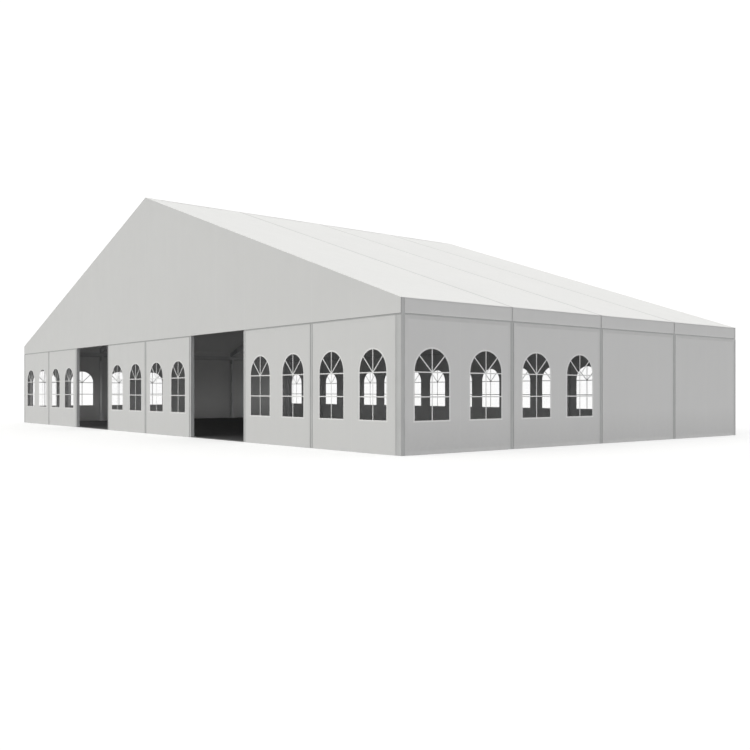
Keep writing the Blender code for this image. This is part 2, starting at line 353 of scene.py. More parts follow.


# Coated weave: threads and slack wrinkles as bump, weld laps at an even pitch, broad patches, streaks along
# the cloth, and on the walls a darkening towards the foot: splashes from the ground, and on the side walls
# mostly painted shade
def coatedFabric(name, colour, splashAndShade=0.0):
    material, place = newMaterial(name, Specular_IOR_Level=0.35)
    cloth = addNode("Attribute", {}, place.id_data, attribute_name="cloth").outputs["Vector"]
    turns = 2 * np.pi / fabric["threadPitch"]
    threads = [mathOf("SINE", times(axisOf(cloth, axis), turns)) for axis in "XY"]
    weave = times(*threads, fabric["threadHeight"])
    slack = noiseOn(stretched(cloth, (0.9, 0.28, 1.0)), 1.1, 3.0, 0.45)
    offLine = mathOf("PINGPONG", axisOf(cloth, "X"), fabric["weldPitch"] / 2)
    lap = ranged(offLine, fabric["weldHalf"], fabric["weldHalf"] + 0.004, 1.0, 0.0)
    streaks = noiseOn(stretched(cloth, (2.1, 0.3, 1.0)), 1.0, 4.0)
    tone = times(patchy(place, 0.32, 4.0, 0.982, 1.0), ranged(streaks, 0.35, 0.7, 1.0, 0.989),
                 patchy(place, 55.0, 2.0, 0.988, 1.0), ranged(lap, 0.0, 1.0, 1.0, 1.018))
    tone = splashedAndShaded(place, tone, splashAndShade)
    heights = [(times(slack, fabric["wrinkleHeight"]), 0.35), (times(lap, fabric["weldHeight"]), 1.0)]
    return finished(material, colour, tone, patchy(place, 1.7, 4.0, 0.48, 0.62), heights + [(weave, 0.6)])


# Smooth coated strip: faint patches and a fine welded ripple
def stripFabric(name, colour, splashAndShade=0.0):
    material, place = newMaterial(name, Specular_IOR_Level=0.4)
    tone = times(patchy(place, 2.1, 4.0, 0.96, 1.0), patchy(place, 90.0, 2.0, 0.985, 1.0))
    # darker towards the foot: dirt, and on the side walls mostly painted shade
    tone = splashedAndShaded(place, tone, splashAndShade)
    ripple = times(noiseOn(place, 30.0), 0.0006)
    return finished(material, colour, tone, patchy(place, 6.0, 3.0, 0.36, 0.5), [(ripple, 0.5)])


# Clear window foil: see-through, a little milky in patches, with a soft waviness in its gloss
def clearFoil():
    material, place = newMaterial("clearFoil", IOR=1.5)
    veil = patchy(place, 2.6, 4.0, 0.016, 0.036)
    material.node_tree.links.new(veil, material.node_tree.nodes["Principled BSDF"].inputs["Alpha"])
    tone, gloss = patchy(place, 1.4, 3.0, 0.9, 1.0), patchy(place, 9.0, 3.0, 0.04, 0.1)
    return finished(material, fabric["foilColour"], tone, gloss, [(times(noiseOn(place, 4.0), 0.004), 0.4)])


# Extruded, anodised profile: long faint streaks along its length and small scuffs
def anodised(name, colour, along, metallic):
    material, place = newMaterial(name, Metallic=metallic)
    scale = [0.35 if axis == along else 42.0 for axis in "XYZ"]
    streaks = noiseOn(stretched(place, scale), 1.0, 3.0)
    scuffs = ranged(noiseOn(place, 24.0, 5.0, 0.7), 0.62, 0.74, 1.0, 0.9)
    patches = patchy(place, 1.3, 4.0, 0.93, 1.0)
    tone = times(ranged(streaks, 0.3, 0.7, 0.94, 1.0), patches, scuffs)
    gloss = ranged(streaks, 0.3, 0.7, 0.36, 0.52)
    return finished(material, colour, tone, gloss, [(times(streaks, 0.0004), 0.4)])


# Hot-dip galvanised steel: crystal patches of unlike brightness
def galvanised():
    material, place = newMaterial("galvanisedSteel", Metallic=0.35)
    cells = addNode("TexVoronoi", {"Vector": place, "Scale": 70.0})
    spangle = addNode("SeparateColor", {"Color": cells.outputs["Color"]}).outputs["Red"]
    worn = ranged(noiseOn(place, 9.0, 5.0), 0.4, 0.7, 1.0, 0.78)
    tone = times(ranged(spangle, 0.0, 1.0, 0.82, 1.0), worn)
    gloss = ranged(spangle, 0.0, 1.0, 0.42, 0.6)
    return finished(material, (0.66, 0.67, 0.68), tone, gloss, [(times(spangle, 0.0002), 0.5)])


plates = {
    "width": 1.2,
    "length": 2.4,
    "jointHalf": 0.006,
    "jointDepth": 0.004,
    # near-black: dark plates, and partly painted shade of the dim hall
    "colour": (0.021, 0.021, 0.022),
    "dustAndDoorLightTone": 3.2,  # how much lighter the dust and a painted pool of daylight make the plates at the doorways
    "dustAndDoorLightReach": 2.4,
}


# Dark floor plates, near-black partly as painted shade of the dim hall: joints at an even pitch both ways, an
# anti-slip grain, trodden patches, and dust with a painted pool of daylight that fades evenly inwards from
# the doorways and to either side
def floorPlates():
    material, place = newMaterial("floorPlates")
    x, y = axisOf(place, "X"), axisOf(place, "Y")
    lines = []
    for distance, pitch in ((x, plates["length"]), (y, plates["width"])):
        off = mathOf("PINGPONG", distance, pitch / 2)
        lines.append(ranged(off, plates["jointHalf"], plates["jointHalf"] + 0.004, 0.0, 1.0))
    body = times(*lines)
    trodden = patchy(place, 0.9, 5.0, 0.88, 1.2, 0.55)
    inwards = ranged(y, -halfLength, plates["dustAndDoorLightReach"] - halfLength, 1.0, 0.0)
    offDoor = mathOf("SUBTRACT", mathOf("ABSOLUTE", x), 1.5 * bay)
    sideways = ranged(mathOf("ABSOLUTE", offDoor), bay * 0.45, bay * 0.62, 1.0, 0.0)
    # dust and a painted pool of daylight at each doorway
    dustAndDoorLight = times(inwards, sideways, patchy(place, 1.1, 5.0, 0.75, 1.2, 0.6))
    tone = times(trodden, ranged(body, 0.0, 1.0, 0.45, 1.0), ranged(dustAndDoorLight, 0.0, 1.0, 1.0, plates["dustAndDoorLightTone"]))
    grain = times(noiseOn(place, 160.0), 0.0008)
    heights = [(times(body, plates["jointDepth"]), 1.0), (grain, 0.5)]
    return finished(material, plates["colour"], tone, patchy(place, 5.0, 4.0, 0.62, 0.82), heights)


# Colour of each metal profile, the axis along its length, and how metallic it is
metals = {
    "frame": ((0.74, 0.745, 0.75), "X", 0.15),
    "post": ((0.62, 0.625, 0.63), "Z", 0.3),
    "bar": ((0.6, 0.605, 0.61), "Y", 0.3),
    # darker than the covers: the track's own grey and partly painted shade in the slits beside the posts
    "track": ((0.53, 0.535, 0.535), "Z", 0.15),
    "cover": ((0.565, 0.57, 0.57), "Z", 0.15),
    # the side walls' covers: a darker copy of the cover metal, painted shade
    "sideCoverShaded": ((0.51, 0.515, 0.515), "Z", 0.15),
    # darker than the side rail: the rail's own grey and a painted shadow under the gable covers' edge
    "gableRailShaded": ((0.43, 0.435, 0.435), "X", 0.15),
    "sideRail": ((0.5, 0.505, 0.505), "Y", 0.15),
    "threshold": ((0.26, 0.26, 0.262), "X", 0.2),
}
metal = {word: anodised(word + "Metal", *settings) for word, settings in metals.items()}
roofFabric = coatedFabric("roofFabric", fabric["roofColour"])
# The side walls' fabric and hem are darker copies towards the foot: painted shade, with some dirt
gableFabric = coatedFabric("gableFabric", fabric["wallColour"], fabric["gableSplash"])
sideFabric = coatedFabric("sideFabric", fabric["wallColour"], fabric["sideSplashAndShade"])
ridgeFabric = stripFabric("ridgeFabric", fabric["ridgeColour"])
gableHem = stripFabric("gableHem", fabric["hemColour"], fabric["gableSplash"])
sideHem = stripFabric("sideHem", fabric["hemColour"], fabric["sideSplashAndShade"])
weldFabric = stripFabric("weldFabric", fabric["weldColour"])
seamFabric = stripFabric("seamFabric", fabric["seamColour"])
foilMaterial = clearFoil()
metal["steel"] = galvanised()
floorMaterial = floorPlates()
print("materials made")

# The frame's own nodes keep their shape and get their finish
finishes = {"frame": ("main_frame", "door_header"), "bar": ("purlin", "ridge_bar", "eave_beam"),
            "post": ("front_frame", "back_gable_frame")}
for name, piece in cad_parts.items():
    for word, starts in finishes.items():
        if name.startswith(starts):
            piece.material_slots[0].material = metal[word]
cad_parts["floor"].material_slots[0].material = floorMaterial


# Roof: one stretched sheet for each bay and slope

roof = {
    "rows": 85,
    "columns": 21,
    "restSag": 0.008,  # where the sheet lies on a purlin, halfway between two rafters
    "freeSag": 0.024,  # halfway between purlins too
    "hemRadius": 0.009,
    "stripHalf": 0.07,
    "stripHeight": 0.005,
    "ridgeHalf": 0.22,
}


def roofHeight(across):
    return ridgeHeight - slope * np.abs(across)


# Underside of the solids that stand for the roof's fabric
def roofUnder(across):
    return roofHeight(across) - coverDepth * pitchFactor


# Outer surface of the roof, pushed out along the slope's normal by lift
def roofPoint(side, across, y, lift):
    x = side * (across + lift * slope / pitchFactor)
    z = ridgeHeight - slope * across + lift / pitchFactor
    return np.stack(np.broadcast_arrays(x, y, z), axis=-1)


def roofNormal(side):
    return np.array([side * slope, 0.0, 1.0]) / pitchFactor


# Sag of a sheet: (1 - |w|^3) across the bay, times the rest sag, which grows to the free sag as the squared
# sine of the distance from the ridge over the purlins' spacing
def sheetSag(across, w):
    between = np.sin(np.pi * across / bay) ** 2
    depth = roof["restSag"] + (roof["freeSag"] - roof["restSag"]) * between
    return depth * (1 - np.abs(w) ** 3)


def roofSheet(side, number, start, end):
    across = np.linspace(0, roofEdge, roof["rows"])[:, None]
    w = np.linspace(-1, 1, roof["columns"])[None, :]
    y = (start + end) / 2 + w * (end - start) / 2
    points = roofPoint(side, across, y, -sheetSag(across, w))
    grid = clothGrid(points, np.stack(np.broadcast_arrays(y, across * pitchFactor), axis=-1))
    name = f"roof_sheet_{sideWord[side]}_{number}"
    sheet = addSheet(name, [grid], -roofNormal(side), roofFabric)
    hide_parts(f"roof_cover_{number}")
    return sheet


# Hem bead along the eave, and along the gable on an end bay
def roofHem(side, number, start, end):
    radius = roof["hemRadius"]
    bead = circle(radius, 8)
    edge = roofPoint(side, roofEdge - radius, np.linspace(start, end, 12), -radius)
    parts = [sweep(bead, edge, xAxis, zAxis)]
    if number in (1, sideBays):
        y = (start + radius) if number == 1 else (end - radius)
        verge = roofPoint(side, np.linspace(0.02, roofEdge, 40), y, -radius)
        parts.append(sweep(bead, verge, yAxis, roofNormal(side)))
    return addSolid(f"roof_hem_{sideWord[side]}_{number}", parts, weldFabric)


# Cover strip over a rafter's seam: a low trapezoid carried down the slope
def seamStrip(side, number):
    half, height = roof["stripHalf"], roof["stripHeight"]
    profile = [(-half, -0.004), (-half, 0.001), (-half * 0.8, height), (-half * 0.12, height)]
    profile += [(0, height * 0.45)] + [(-x, z) for x, z in profile[::-1]]
    across = np.linspace(roof["ridgeHalf"] * 0.5, roofEdge - 0.002, 60)
    part = sweep(profile, roofPoint(side, across, lineAt(number, sideBays), 0.0), yAxis, roofNormal(side))
    return addSolid(f"seam_strip_{sideWord[side]}_{number}", [part], seamFabric, sharp=0.3)


# Band that laps both slopes over the ridge, from gable to gable
def ridgeBand():
    half = roof["ridgeHalf"]
    outer = np.array([half, half * 0.93, half * 0.5, 0.03, 0.012, 0.0])
    lift = np.array([0.0005, 0.0035, 0.004, 0.004, 0.0035, 0.003])
    x = np.concatenate([-outer, outer[-2::-1]])
    z = roofHeight(x) + np.concatenate([lift, lift[-2::-1]]) * pitchFactor
    under = np.array([half, 0.0, -half])
    profile = np.column_stack([np.concatenate([x, under]), np.concatenate([z, roofHeight(under) - 0.003])])
    part = extrude(profile, 1, np.linspace(0.002 - roofEnd, roofEnd - 0.002, 30))
    return addSolid("ridge_band", [part], ridgeFabric, sharp=0.25)


ridge = ridgeBand()
for side in (-1, 1):
    for number in range(1, sideBays + 1):
        start, end = bayEnds(number, sideBays, 0.0, roofEnd)
        sheet = roofSheet(side, number, start, end)
        extras = [roofHem(side, number, start, end)]
        if number < sideBays:
            extras.append(seamStrip(side, number))
        if side > 0 and number == 1:
            extras.append(ridge)
print("roof made")


# Walls: rails, tracks and panels

wall = {
    "trackHalf": 0.088,  # half the gap between two panels at a post
    "flangeLap": 0.007,  # how far a flange runs on under a panel's edge
    "lip": 0.0126,  # from the frames' outer face
    "coverHalf": 0.042,
    "cornerReach": 0.26,  # from a gable's end to its first panel
    "railLow": wallTop - 0.034,
    "railHigh": wallTop + 0.04,
    "billow": 0.006,
    "ripple": 0.0012,
    "ripplePitch": 0.83,
    "hemWidth": 0.12,
    "hemLift": 0.0016,
    "fasciaGap": 0.022,
    "fasciaBillow": 0.004,
    "fasciaHem": 0.045,
    "groundGap": 0.004,
    "sideWindows": (1, 2),  # bays of the side walls with windows; the gables have them in every bay
    "foilEnds": (3, 5),  # last gable bays behind which the frame's first and second foils run
}
grooveLow = wallTop - 0.026
grooveHigh = wallTop + 0.026

window = {
    "width": 1.47,
    "offset": 1.204,  # from the bay's middle
    "sill": 1.09,
    "spring": 2.665,
    "bottomSteps": 14,
    "sideSteps": 12,
    "archSteps": 32,
    "rings": 9,
    "rimWidth": 0.05,
    "barHalf": 0.019,
    "barHeight": 0.0035,
    "springBar": 2.64,
    "midBar": 1.85,
    "hubRadius": 0.043,
    "foilLap": 0.035,
    "foilDepth": 0.0034,
    "foilThickness": 0.001,
}


# Closed loop of points in u and v: bottom, right side, head and left side
def closedLoop(low, high, bottom, top, sides, headU, headV):
    steps = window["bottomSteps"]
    u = np.concatenate([openSteps(low, high, steps), np.full(sides, high), headU, np.full(sides, low)])
    rise, fall = openSteps(bottom, top, sides), openSteps(top, bottom, sides)
    return np.column_stack([u, np.concatenate([np.full(steps, bottom), rise, headV, fall])])


# Loop round an arched window, moved outwards by grown: its head is half a circle
def archLoop(centre, grown=0.0):
    radius, spring = window["width"] / 2 + grown, window["spring"]
    turn = openSteps(0, np.pi, window["archSteps"])
    return closedLoop(centre - radius, centre + radius, window["sill"] - grown, spring, window["sideSteps"],
                      centre + radius * np.cos(turn), spring + radius * np.sin(turn))


# Loop round a rectangle with as many points as the arch's, its upper corners opposite 45 and 135 degrees
def boxLoop(box, inset=0.0):
    low, high, bottom, top = np.add(box, (inset, -inset, inset, -inset))
    steps = window["archSteps"] // 4
    return closedLoop(low, high, bottom, top, window["sideSteps"] + steps, openSteps(high, low, 2 * steps),
                      np.full(2 * steps, top))


# Outer face of a wall's cloth: it stands in by its dip at u and v, and out by a lift
def clothFace(place, dip):
    def face(u, v, lift=0.0):
        return place(np.stack([u, v, faceDepth - dip(u, v) + lift], axis=-1))
    return face


# A panel's dip: the product of two half sines, with a small slanting ripple
def panelDip(low, high, top):
    def dip(u, v):
        ripple = wall["ripple"] * np.sin(2 * np.pi * (u + 0.11 * v) / wall["ripplePitch"])
        return halfSine(u, low, high) * halfSine(v, 0, top) * (wall["billow"] + ripple)
    return dip


# Band between loops, each with its own lift off the face; the last one closes back under the first
def loopBand(face, loops, lifts):
    u, v = np.moveaxis(np.stack(loops, axis=1), -1, 0)
    return face(u, v, lifts).reshape(-1, 3), [gridQuads(*u.shape, ringRows=True, ringColumns=True)]


# Grid of a wall's cloth from its u and v
def wallGrid(face, u, v, lift=0.0, ring=False):
    return clothGrid(face(u, v, lift), np.stack([u, v], axis=-1), ring)


# Half a bay round one window: straight lines from the arch's loop out to the rectangle's loop
def windowGrid(face, centre, box):
    inner, outer = archLoop(centre), boxLoop(box)
    share = np.linspace(0, 1, window["rings"])[None, :]
    u = inner[:, :1] * (1 - share) + outer[:, :1] * share
    v = inner[:, 1:] * (1 - share) + outer[:, 1:] * share
    return wallGrid(face, u, v, ring=True)


def plainGrid(face, box, columns, rows):
    u, v = np.meshgrid(np.linspace(*box[:2], columns), np.linspace(*box[2:], rows), indexing="ij")
    return wallGrid(face, u, v)


# Welded hem round a panel, with a keder bead along its outer edge. A small sharp angle shades it flat.
def panelHem(name, face, box, width, material, sharp):
    insets = [0.0, 0.001, 0.006, 0.011, 0.016, width - 0.004, width, width - 0.01, 0.001]
    lifts = np.array([-0.0035, 0.0025, 0.0045, 0.0025, 0.0, 0.0, -0.0014, -0.003, -0.0045])
    band = loopBand(face, [boxLoop(box, inset) for inset in insets], lifts + wall["hemLift"])
    return addSolid(name, [band], material, sharp)


# Rim welded round a window opening; it wraps the panel's edge
def windowRim(face, centre):
    width = window["rimWidth"]
    grown = [-0.002, -0.002, 0.001, width - 0.006, width, width - 0.004, -0.002]
    lifts = [-0.003, 0.001, 0.0022, 0.0018, 0.0005, -0.001, -0.003]
    return loopBand(face, [archLoop(centre, amount) for amount in grown], lifts)


# Clear pane behind the opening: columns that each reach up to the arch
def windowFoil(name, face, centre, inward):
    radius = window["width"] / 2 + window["foilLap"]
    low = window["sill"] - window["foilLap"]
    spread = np.sin(np.linspace(-np.pi / 2, np.pi / 2, 19))[:, None]
    share = np.linspace(0, 1, 25)[None, :]
    head = window["spring"] + np.sqrt(np.maximum(radius ** 2 - (radius * spread) ** 2, 0))
    u, v = centre + radius * spread + 0 * share, low + share * (head - low)
    soft = 0.0005 * np.sin(5.1 * u + 2.3 * v) + 0.0003 * np.sin(3.7 * v - 4.3 * u)
    grid = wallGrid(face, u, v, soft - window["foilDepth"])
    return addSheet(name, [grid], inward, foilMaterial, window["foilThickness"])


# A part given in u, v and its height off the window foil
def onFoil(face, part):
    (u, v, height), faces = part[0].T, part[1]
    return face(u, v, height - window["foilDepth"]), faces


# Glazing bar on the foil from one point to another: a flat strip with rounded edges
def windowBar(face, start, end):
    half, height = window["barHalf"], window["barHeight"]
    profile = [(-half, -0.002), (-half, height * 0.4), (-half * 0.8, height), (0.0, height * 1.15)]
    profile += [(half * 0.8, height), (half, height * 0.4), (half, -0.002)]
    line = np.subtract(end, start)
    across = np.array([-line[1], line[0], 0.0]) / np.hypot(*line)
    path = np.column_stack([start + np.linspace(0, 1, 11)[:, None] * line, np.zeros(11)])
    return onFoil(face, sweep(profile, path, across, zAxis))


# Five bars and a hub where the fan meets the spring bar
def windowBars(face, centre):
    radius, middle = window["width"] / 2, window["springBar"]
    diagonal = (window["spring"] - middle) * np.sqrt(0.5)
    reach = (diagonal + np.sqrt(radius ** 2 - diagonal ** 2)) * np.sqrt(0.5)
    ends = [((centre, window["sill"]), (centre, window["spring"] + radius))]
    ends += [((centre - radius, v), (centre + radius, v)) for v in (middle, window["midBar"])]
    ends += [((centre, middle), (centre + way * reach, middle + reach)) for way in (-1, 1)]
    levels = window["barHeight"] * np.array([-0.5, 1.2, 1.6])
    hub = extrude(circle(window["hubRadius"], 20), 2, levels, (centre, middle, 0), (1.0, 1.0, 0.8))
    return [windowBar(face, start, end) for start, end in ends] + [onFoil(face, hub)]


# One bay of wall: the sheet with its windows, hem, rims, bars and foils
def wallPanel(word, number, low, high, middle, windows):
    place, inward, onSide = walls[word]
    cloth, hemCloth, sharp = (sideFabric, sideHem, 0.5) if onSide else (gableFabric, gableHem, 0.3)
    bottom, top = wall["groundGap"], grooveLow
    face = clothFace(place, panelDip(low, high, top))
    centres = [middle - window["offset"], middle + window["offset"]] if windows else []
    if windows:
        boxes = (low, middle, bottom, top), (middle, high, bottom, top)
        grids = [windowGrid(face, centre, box) for centre, box in zip(centres, boxes)]
    else:
        grids = [plainGrid(face, (low, high, bottom, top), 41, 33)]
    sheet = addSheet(f"{word}_panel_{number}", grids, inward, cloth)
    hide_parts(f"{word}_wall_{number}")
    name = f"{word}_panel_hem_{number}"
    extras = [panelHem(name, face, (low, high, bottom, top), wall["hemWidth"], hemCloth, sharp)]
    if windows:
        rims = [windowRim(face, centre) for centre in centres]
        extras.append(addSolid(f"{word}_window_rims_{number}", rims, weldFabric, 0.5))
    for letter, centre in zip("ab", centres):
        name = f"{word}_window_bars_{number}{letter}"
        bars = addSolid(name, windowBars(face, centre), weldFabric, 0.5)
        foil = windowFoil(f"{word}_foil_{number}{letter}", face, centre, inward)
        foilNumber = 1 + sum(number > last for last in wall["foilEnds"])
        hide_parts(f"{word}_window_foil" if onSide else f"{word}_window_foil_{foilNumber}")


# Base of a keder profile on a post, in plan: a flange that closes the slit between the panels, with a lip
# at each side. Beside a doorway it ends at the post's edge, without a lip.
def trackProfile(*openings):
    profile = []
    for way, isOpen in zip((-1, 1), openings):
        reach, lip = wall["trackHalf"] + wall["flangeLap"], wall["lip"]
        if isOpen:
            reach, lip = postHalf - 0.0004, 0.005
        half = [(reach, 0.0005), (reach, lip), (reach - 0.005, lip), (reach - 0.006, 0.003)]
        profile += [(way * u, d) for u, d in half[::-way]]
    return profile


# Cover strip clipped on the base, in plan, with rounded edges and a shallow groove down its middle
def coverProfile(openLow, openHigh):
    low = -postHalf if openLow else -wall["coverHalf"]
    high = postHalf if openHigh else wall["coverHalf"]
    middle = (low + high) / 2
    edge = [(0, 0.0032), (0, 0.011), (0.0012, 0.0138), (0.004, 0.015)]
    groove = [(middle - 0.006, 0.015), (middle, 0.0132), (middle + 0.006, 0.015)]
    return [(low + u, d) for u, d in edge] + groove + [(high - u, d) for u, d in edge[::-1]]


# Upright carried from the ground to just under the rail, its section in u and d
def upright(place, profile, centre, bottom, gap):
    return placed(place, extrude(profile, 1, np.linspace(bottom, wall["railLow"] - gap, 6), (centre, 0, 0)))


# Rail over the panels, its section in v and d
def groovedRail(place, low, high):
    bottom, top, lip = wall["railLow"], wall["railHigh"], wall["lip"]
    profile = [(bottom, 0.0006), (top, 0.0006), (top, lip), (top - 0.006, lip), (top - 0.007, 0.003)]
    profile += [(bottom + 0.007, 0.003), (bottom + 0.006, lip), (bottom, lip)]
    return placed(place, extrude(profile, 0, np.linspace(low, high, 24)))


# One wall: a track and its cover on each post, the rail, and a panel in each bay without a doorway
def makeWall(word):
    place, _, onSide = walls[word]
    bays = sideBays if onSide else gableBays
    doors = frontDoors if word == "front" else ()
    railEnd = sideReach if onSide else halfSpan - 0.001
    panelEnd = sideReach if onSide else halfSpan - wall["cornerReach"]
    tracks, covers, railEnds = [], [], [-railEnd]
    for line in range(1, bays):
        centre, openings = lineAt(line, bays), (line in doors, line + 1 in doors)
        tracks.append(upright(place, trackProfile(*openings), centre, 0.002, 0.0005))
        covers.append(upright(place, coverProfile(*openings), centre, 0.004, 0.001))
        if any(openings):
            railEnds.append(centre + (postHalf if openings[1] else -postHalf))
    railEnds.append(railEnd)
    rails = [groovedRail(place, low, high) for low, high in zip(railEnds[0::2], railEnds[1::2])]
    addMetal(f"{word}_post_tracks", tracks, "track")
    addMetal(f"{word}_post_covers", covers, "sideCoverShaded" if onSide else "cover")
    addMetal(f"{word}_rail", rails, "sideRail" if onSide else "gableRailShaded")
    for number in range(1, bays + 1):
        if number in doors:
            continue
        low, high = bayEnds(number, bays, wall["trackHalf"], panelEnd)
        posts = [f"{word}_post_tracks"]
        if onSide:
            posts += [f"main_frame_{number}", f"main_frame_{number + 1}"]
        windows = not onSide or number in wall["sideWindows"]
        wallPanel(word, number, low, high, lineAt(number - 0.5, bays), windows)


for word in walls:
    makeWall(word)

# Profiles in plan for the corner at +x and +y, with their bottom and top: flanges under the panels' edges,
# above them the strip that closes the fascia, and the two covers that meet in a mitre
corner = {"gableGroove": -0.17, "sideGroove": -0.112, "flange": 0.0112, "face": 0.015, "round": 0.003}
gableGroove, sideGroove, flange, outer, soft = corner.values()
gableEnd, sideEnd = -wall["cornerReach"] - wall["flangeLap"], -2 * postHalf - wall["flangeLap"]
near, far, mitre = flange + 0.0003, outer - soft, outer - soft / 2
track = [(gableEnd, 0.0005), (0.0005, 0.0005), (0.0005, sideEnd), (flange, sideEnd), (flange, flange)]
track += [(gableEnd, flange)]
upper = [(0.0005, -0.0006), (0.0005, sideEnd), (flange, sideEnd), (flange, -0.0006)]
sideCoverShaded = [(near, sideGroove), (far, sideGroove), (outer, sideGroove + soft), (outer, far), (mitre, mitre)]
gableCover = [(near, near), (mitre, mitre), (far, outer), (gableGroove + soft, outer), (gableGroove, far)]
low, top = wall["railLow"] - 0.0005, roofUnder(halfSpan + faceDepth) - 0.004
corners = {
    "corner_track": ([(track, 0.002, low), (upper, wall["railLow"], top)], "track"),
    "corner_cover": ([(gableCover + [(gableGroove, near)], 0.004, low)], "cover"),
    # the side-facing half takes the darker copy of the cover metal: painted shade
    "corner_side_cover": ([(sideCoverShaded + [(near, near)], 0.004, low)], "sideCoverShaded"),
}
for sideX in (-1, 1):
    for wordY, sideY in (("front", -1), ("back", 1)):
        signs, foot = (sideX, sideY), (sideX * halfSpan, sideY * halfLength, 0)
        for word, (profiles, finish) in corners.items():
            parts = [extrude(np.array(profile) * signs, 2, np.linspace(bottom, top, 5), foot)
                     for profile, bottom, top in profiles]
            addMetal(f"{wordY}_{sideWord[sideX]}_{word}", parts, finish)
print("walls made")


# Gable covers and fascias, above the wall line

gableCloth = {"billow": 0.007, "columns": 81, "rows": 25, "hemRadius": 0.006}


# Half a gable: columns from the middle to the corner, from the groove up to the roof's underside. It dips
# between posts as the squared sine of the distance along the gable, and not at its edges.
def gableHalf(word, half):
    place, inward, _ = walls[word]
    edge = halfSpan + faceDepth - coverDepth
    along = np.linspace(0, edge, gableCloth["columns"])[:, None]
    share = np.linspace(0, 1, gableCloth["rows"])[None, :]
    v = grooveHigh + share * (roofUnder(along) - 0.0006 - grooveHigh)

    def dip(u, v):
        rise = halfSine(v, grooveHigh, np.maximum(roofUnder(u), grooveHigh + 0.01)).clip(0, 1)
        return gableCloth["billow"] * np.sin(np.pi * u / bay) ** 2 * np.sqrt(rise)
    grid = wallGrid(clothFace(place, dip), half * along + 0 * share, v)
    name = f"{word}_gable_{sideWord[half]}"
    sheet = addSheet(name, [grid], inward, gableFabric)
    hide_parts(f"{word}_gable_cover")
    bead = extrude(circle(gableCloth["hemRadius"], 8), 0, half * np.linspace(0, edge, 40),
                   (0, grooveHigh + 0.005, faceDepth - 0.003))
    hem = addSolid(f"{name}_hem", [placed(place, bead)], gableHem)
    tall, short = roofUnder(0) - grooveHigh, roofUnder(edge) - grooveHigh


def fasciaSheet(word, number):
    place, inward, _ = walls[word]
    low, high = bayEnds(number, sideBays, wall["fasciaGap"], sideReach)
    top = roofUnder(halfSpan + faceDepth) - 0.002

    def dip(u, v):
        return wall["fasciaBillow"] * halfSine(u, low, high) * halfSine(v, grooveHigh, top)
    face, box = clothFace(place, dip), (low, high, grooveHigh, top)
    name = f"{word}_fascia_{number}"
    sheet = addSheet(name, [plainGrid(face, box, 31, 9)], inward, sideFabric)
    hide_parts(f"fascia_{word}")
    hem = panelHem(f"{name}_hem", face, box, wall["fasciaHem"], sideHem, 0.5)


for word in ("front", "back"):
    gableHalf(word, -1)
    gableHalf(word, 1)
for word in ("left", "right"):
    for number in range(1, sideBays + 1):
        fasciaSheet(word, number)
print("gable covers and fascias made")


# Steelwork: joint plates, bolts, foot anchors, post shoes and thresholds

steelwork = {
    "plateThickness": 0.006,
    "plateReach": 0.75,  # how far a knee or ridge plate runs along its rafter
    "kneeFoot": 4.15,
    "boltRadius": 0.017,
    "boltHeight": 0.014,
    "footTop": 0.02,
    "footWidth": 0.4,
    "anchorRadius": 0.024,
    "anchorHeight": 0.035,
    "shoeHeight": 0.16,
    "shoeReach": 0.12,
    "shoeThickness": 0.008,
}


def rafterTop(x):
    return roofUnder(x) - 0.0003


# Flat plate: an outline in x and z carried along y
def plate(outline, y, thickness):
    return extrude(outline, 1, (y, y + thickness))


# Six-sided bolt head along y or z, chamfered at its outer end
def boltHead(axis, way=1):
    levels = way * steelwork["boltHeight"] * np.array([0.0, 0.75, 1.0])
    return extrude(circle(steelwork["boltRadius"], 6), axis, levels, scales=(1.0, 1.0, 0.8))


# Plates at the knees and the ridge on a frame's faces, each with its bolts
def jointPlates(y, faces):
    leg, thick, long = halfSpan - legDepth, steelwork["plateThickness"], steelwork["plateReach"]
    outer, inner, reach, foot = halfSpan - 0.03, leg + 0.02, leg - long, steelwork["kneeFoot"]
    under = legDepth * pitchFactor - 0.02
    knee = [(inner, foot), (outer, foot), (outer, rafterTop(outer) - 0.02), (reach, rafterTop(reach) - 0.02)]
    knee += [(reach, rafterTop(reach) - under), (inner, rafterTop(inner) - under)]
    ridge = [(x, rafterTop(x) - 0.15) for x in (long, 0.0, -long)]
    ridge += [(x, rafterTop(x) - under) for x in (-long, 0.0, long)]
    kneeBolts = [(x, foot + rise) for x in (leg + 0.08, halfSpan - 0.09) for rise in (0.07, 0.27, 0.47)]
    kneeBolts += [(x, rafterTop(x) - drop) for x in leg - np.array([0.15, 0.4, 0.65]) for drop in (0.1, 0.28)]
    ridgeBolts = [(x, rafterTop(x) - 0.25) for x in (-0.65, -0.45, -0.25, 0.25, 0.45, 0.65)]
    parts = []
    for way in faces:
        start = y + way * (postHalf + 0.0004)
        for sign, outline, bolts in ((-1, knee, kneeBolts), (1, knee, kneeBolts), (1, ridge, ridgeBolts)):
            parts.append(plate([(sign * x, z) for x, z in outline], start, way * thick))
            spots = [(sign * x, start + way * (thick + 0.0002), z) for x, z in bolts]
            parts.append(copies(boltHead(1, way), spots))
    return parts


for number, y in enumerate(framePlaces(), start=1):
    faces = (1,) if number == 1 else (-1,) if number == sideBays + 1 else (-1, 1)
    addMetal(f"joint_plates_{number}", jointPlates(y, faces), "steel", 0.5)

